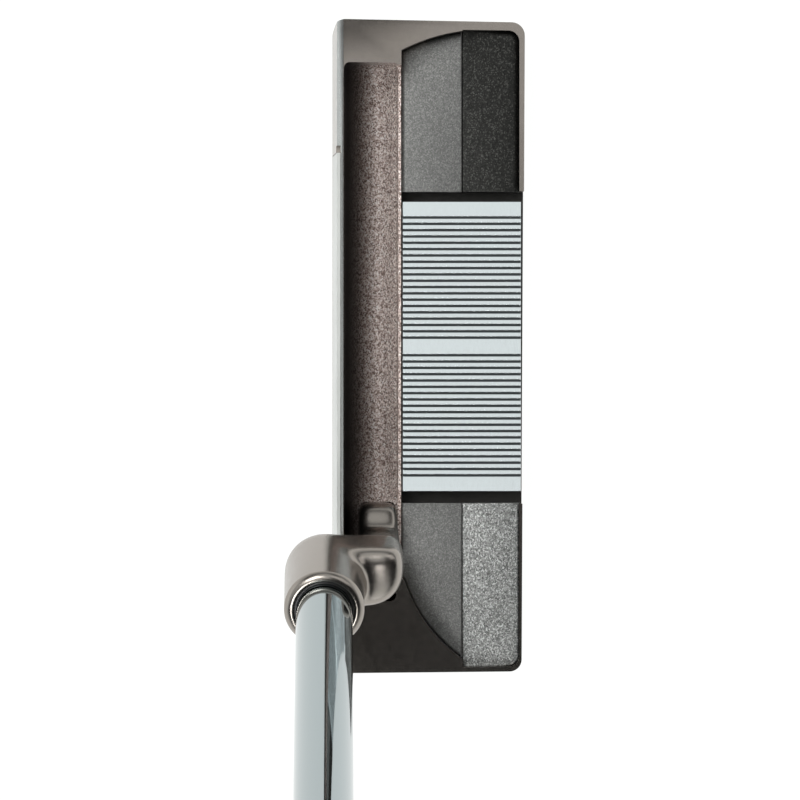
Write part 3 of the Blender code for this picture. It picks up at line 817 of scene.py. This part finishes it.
def build_sole_fasteners(steel, weight_steel):
    """Screws and round weights in the sole, each with a hexagon socket."""
    for node in SCREW_NODES:
        low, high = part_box(node)
        place = middle_of(node)
        head = (high.x - low.x) / 2
        shoulder = low.z + 0.002
        profile = [(head - 0.0003, low.z), (head, low.z + 0.0003), (head, shoulder), (0.0014, shoulder)]
        profile += [(0.0014, high.z - 0.0006), (0.001, high.z)]
        screw = turned(f"{node}_steel", profile, 48)
        combine(screw, [turned("socket", [(0.0012, -0.001), (0.0012, low.z + 0.0012)], 6)], "DIFFERENCE")
        soften(screw, 0.00008, 2)
        stand(screw, place.x, place.y)
        finish_piece(screw, steel, "screw_steel", node)
    for node in WEIGHT_NODES:
        low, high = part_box(node)
        place = middle_of(node)
        rim = (high.x - low.x) / 2
        weight = turned(f"{node}_steel", [(rim - 0.0004, low.z), (rim, low.z + 0.0004), (rim, high.z)], 96)
        socket = turned("socket", [(0.0023, -0.001), (0.0023, low.z + 0.0022)], 6)
        groove = turned("groove", [(rim - 0.0016, -0.001), (rim - 0.0016, low.z + 0.0002),
                                   (rim - 0.002, low.z + 0.0002), (rim - 0.002, -0.001)], 96, capped=False)
        combine(weight, [socket, groove], "DIFFERENCE")
        soften(weight, 0.00008, 2)
        stand(weight, place.x, place.y)
        finish_piece(weight, weight_steel, "sole_weight_steel", node)


# ---------------------------------------------------------------- shaft and grip

def build_shaft(metal, plastic):
    steps = 96
    tip = MOUTH - 0.0195
    butt = CLUB_LENGTH - 0.0065
    outer = [(SHAFT_RADIUS, tip), (SHAFT_RADIUS, TAPER_START), (BUTT_RADIUS, TAPER_END), (BUTT_RADIUS, butt)]
    inner = [(radius - SHAFT_WALL, place) for radius, place in reversed(outer)]
    shaft = lean(turned("shaft_tube", outer + inner, steps, capped=False))
    smooth(shaft)
    finish_piece(shaft, metal, "shaft_chrome", "shaft")

    inner_radius = SHAFT_RADIUS + 0.00005
    outer_radius = MOUTH_RADIUS - 0.00005
    low = MOUTH - 0.0027
    top = MOUTH - 0.0001
    profile = [(inner_radius, low), (outer_radius, low), (outer_radius, top - 0.0003)]
    profile += [(outer_radius - 0.0001, top - 0.0001), (outer_radius - 0.0003, top), (inner_radius, top)]
    ring = lean(turned("ferrule_ring", profile, steps, capped=False))
    smooth(ring)
    finish_piece(ring, plastic, "black_plastic", "shaft_ferrule")


def grip_radius(place):
    share = min(max((place - GRIP_START) / GRIP_LENGTH, 0.0), 1.0)
    return 0.0116 + 0.0028 * (3 * share**2 - 2 * share**3)


def no_sink(angle, place):
    return 0.0


def grip_loop(place, sink, count):
    """A round section with one flat side for the thumbs, sunk by a pattern."""
    loop = []
    base = grip_radius(place)
    for step in range(count):
        angle = math.tau * step / count
        radius = base - sink(angle, place)
        loop.append((max(radius * math.cos(angle), -radius * GRIP_FLAT), radius * math.sin(angle), place))
    return loop


def grip_sink(angle, place):
    """Depth of the grip's moulding: small diamonds round its back and sides, and rings near both ends."""
    along = place - GRIP_START
    if along < 0.012 or along > GRIP_LENGTH - 0.016:
        return 0.0003 * max(0.0, math.sin(along * math.tau / 0.004)) ** 2
    if math.cos(angle) < -0.72:
        return 0.0
    first = math.sin(12 * angle + along * math.tau / 0.012)
    second = math.sin(12 * angle - along * math.tau / 0.012)
    groove = 0.00032 * (1 - min(1.0, abs(first) * 4))
    crossing = 0.00032 * (1 - min(1.0, abs(second) * 4))
    return groove + crossing * (abs(first) > 0.25)


def build_grip(rubber):
    top = CLUB_LENGTH - 0.006
    rows = 520
    count = 144
    places = [GRIP_START + (top - GRIP_START) * step / rows for step in range(rows + 1)]
    loops = [grip_loop(place, grip_sink, count) for place in places]
    thin = 0.0015
    inside = []
    for place in (top, GRIP_START):
        outer = grip_loop(place, no_sink, count)
        shrink = 1 - thin / grip_radius(place)
        inside.append([(x * shrink, y * shrink, z) for x, y, z in outer])
    skin = lean(tube_of_loops("grip_skin", loops + inside, capped=False))
    smooth(skin, 50)
    finish_piece(skin, rubber, "grip_rubber", "grip_wrap")

    radius = grip_radius(CLUB_LENGTH)
    edge = grip_loop(CLUB_LENGTH, no_sink, 96)
    low = top + GAP
    loops = []
    dish = ((0.0001, 0.0017), (0.0003, 0.001), (0.0008, 0.0003), (0.0016, 0.0), (0.0062, 0.0))
    dish += ((0.0066, 0.0004), (0.0078, 0.0004), (0.0082, 0.0))
    for sink, place in [(0.0001, low)] + [(sink, CLUB_LENGTH - depth) for sink, depth in dish]:
        loops.append([(x * (1 - sink / radius), y * (1 - sink / radius), place)
                      for x, y, _ in edge])
    for place in (CLUB_LENGTH, low):
        loops.append([(x / radius * 0.001, y / radius * 0.001, place)
                      for x, y, _ in edge])
    cap = lean(tube_of_loops("grip_cap", loops, capped=False))
    smooth(cap)
    finish_piece(cap, rubber, "grip_rubber", "grip_end_cap")


def dress_inner_nodes():
    """Materials for the CAD nodes that stay as they are, hidden inside the club."""
    plastic = soft_plastic("inner_plastic", (0.02, 0.02, 0.02), 0.45)
    epoxy = soft_plastic("amber_epoxy", (0.35, 0.26, 0.12), 0.35)
    elastomer = soft_plastic("soft_elastomer", (0.08, 0.08, 0.09), 0.7)
    foam = soft_plastic("grip_foam", (0.07, 0.07, 0.075), 0.9, 1500)
    tape = soft_plastic("cream_tape", (0.6, 0.56, 0.45), 0.8, 1200)
    dress = {"shaft_tip_plug": plastic, "shaft_bond": epoxy, "face_insert_core": elastomer}
    dress.update({"grip_underlisting": foam, "grip_tape": tape})
    for node, material in dress.items():
        NODES[node].data.materials.clear()
        NODES[node].data.materials.append(material)


# ---------------------------------------------------------------- stage

def build_stage():
    floor = block("floor", (-15, -15, -0.02), (15, 15, -0.0002))
    made = Nodes("pale_floor", (0.1, 0.1, 0.1), 0.0, 0.9)
    made.shader.inputs["Specular IOR Level"].default_value = 0.0
    made.shader.inputs["Emission Color"].default_value = (0.99, 1, 0.99, 1)
    made.shader.inputs["Emission Strength"].default_value = 0.97
    floor.data.materials.append(made.material)


def added(tree, first, second):
    add = tree.nodes.new("ShaderNodeMath")
    add.operation = "ADD"
    tree.links.new(first, add.inputs[0])
    tree.links.new(second, add.inputs[1])
    return add.outputs["Value"]


def build_light():
    """A dark studio with soft patches of light on all sides, a pale horizon and three softboxes."""
    world = bpy.data.worlds.new("studio")
    bpy.context.scene.world = world
    world.use_nodes = True
    tree = world.node_tree
    place = tree.nodes.new("ShaderNodeTexCoord")
    total = None
    base = 0.015
    for name, centre, inner, outer, strength in (
        ("above", (-0.12, -0.24, 0.97), 17, 25, 0.84),
        ("face_side", (-0.1, -0.9, 0.42), 18, 40, 0.6),
        ("toe_side", (-0.66, 0.0, 0.75), 14, 30, 0.76),
        ("back_side", (-0.1, 0.97, 0.2), 8, 30, 0.4),
        ("heel_side", (0.91, 0.0, 0.41), 10, 30, 1.2),
    ):
        toward = tree.nodes.new("ShaderNodeVectorMath")
        toward.operation = "DOT_PRODUCT"
        toward.inputs[1].default_value = Vector(centre).normalized()
        tree.links.new(place.outputs["Generated"], toward.inputs[0])
        patch = tree.nodes.new("ShaderNodeMapRange")
        patch.name = name
        patch.interpolation_type = "SMOOTHSTEP"
        patch.inputs["From Min"].default_value = math.cos(math.radians(outer))
        patch.inputs["From Max"].default_value = math.cos(math.radians(inner))
        patch.inputs["To Min"].default_value = base if total is None else 0.0
        patch.inputs["To Max"].default_value = strength + (base if total is None else 0.0)
        tree.links.new(toward.outputs["Value"], patch.inputs["Value"])
        if total is None:
            total = patch.outputs["Result"]
            continue
        total = added(tree, total, patch.outputs["Result"])
    height = tree.nodes.new("ShaderNodeSeparateXYZ")
    tree.links.new(place.outputs["Generated"], height.inputs["Vector"])
    horizon = tree.nodes.new("ShaderNodeMapRange")
    horizon.interpolation_type = "SMOOTHSTEP"
    horizon.inputs["From Min"].default_value = 0.16
    horizon.inputs["From Max"].default_value = 0.4
    horizon.inputs["To Min"].default_value = 0.7
    horizon.inputs["To Max"].default_value = 0.0
    tree.links.new(height.outputs["Z"], horizon.inputs["Value"])
    total = added(tree, total, horizon.outputs["Result"])
    back = tree.nodes["Background"]
    back.inputs["Color"].default_value = (0.97, 1.0, 1.0, 1)
    tree.links.new(total, back.inputs["Strength"])

    softbox("toe_softbox", (-0.15, 0.215, 0.32), (-0.05, 0.0, 0.02), 0.24, 0.165)
    softbox("key_softbox", (-0.36, -0.38, 1.0), (0.0, 0.0, 0.02), 0.5, 5.0)
    softbox("heel_softbox", (0.6, -0.2, 0.9), (0.0, 0.0, 0.02), 0.4, 4.5)


def softbox(name, place, aim, size, power):
    data = bpy.data.lights.new(name, "AREA")
    data.shape = "SQUARE"
    data.size = size
    data.energy = power
    lamp = bpy.data.objects.new(name, data)
    bpy.context.scene.collection.objects.link(lamp)
    lamp.location = place
    lamp.rotation_euler = (Vector(aim) - Vector(place)).to_track_quat("-Z", "Y").to_euler()


def build_camera():
    """Straight above the topline, with the toe at the top of the picture and the back at its right."""
    data = bpy.data.cameras.new("address_view")
    data.sensor_width = 36
    data.lens = 328.8
    data.clip_start = 0.01
    camera = bpy.data.objects.new("address_view", data)
    bpy.context.scene.collection.objects.link(camera)
    place = Vector((0.00975, -0.0166, 1.3445))
    target = Vector((0.00975, -0.0051, FLANGE_TOP))
    back = (place - target).normalized()
    up = Vector((-1, 0, 0))
    right = up.cross(back).normalized()
    up = back.cross(right)
    turn = Matrix((right, up, back)).transposed().to_4x4()
    camera.matrix_world = Matrix.Translation(place) @ turn
    bpy.context.scene.camera = camera


def main():
    bronze = satin_bronze()
    flake = flake_bronze()
    grey = blasted_grey("blasted_grey", (0.115, 0.115, 0.111), (0.185, 0.185, 0.178), 0.5, 0.00018, 1.4)
    # Painted shade and painted highlight: the toe and heel rear blocks share one grey, given a darker copy on
    # the toe and a lighter one on the heel.
    dark = blasted_grey("grey_painted_shade", (0.009, 0.009, 0.008), (0.024, 0.024, 0.022), 0.5, 0.0002, 3.0)
    light = blasted_grey("grey_painted_highlight", (0.085, 0.085, 0.083), (0.29, 0.295, 0.285), 0.45, 0.0002, 1.8)
    groove_dark = soft_plastic("dark_groove", (0.022, 0.03, 0.032), 0.4)
    steel = plain_steel("screw_steel", (0.35, 0.35, 0.36), 0.3)
    weight_steel = plain_steel("sole_weight_steel", (0.3, 0.29, 0.28), 0.35)
    white = soft_plastic("pale_strike_plate", (0.52, 0.53, 0.51), 0.35)
    rubber = soft_plastic("grip_rubber", (0.02, 0.02, 0.022), 0.65)
    plastic = soft_plastic("black_plastic", (0.008, 0.008, 0.008), 0.35)

    build_camera()
    build_light()
    build_stage()
    build_head(bronze, flake, pocket_shade(), topline_painted_highlight())
    build_neck(bronze)
    build_strike_plate(white)
    build_sight_block(polished_aluminium(), groove_dark)
    build_flange_pieces(grey, dark, light)
    build_sole_fasteners(steel, weight_steel)
    build_shaft(chrome(), plastic)
    build_grip(rubber)
    dress_inner_nodes()
    bpy.context.scene.view_settings.view_transform = "Standard"


main()
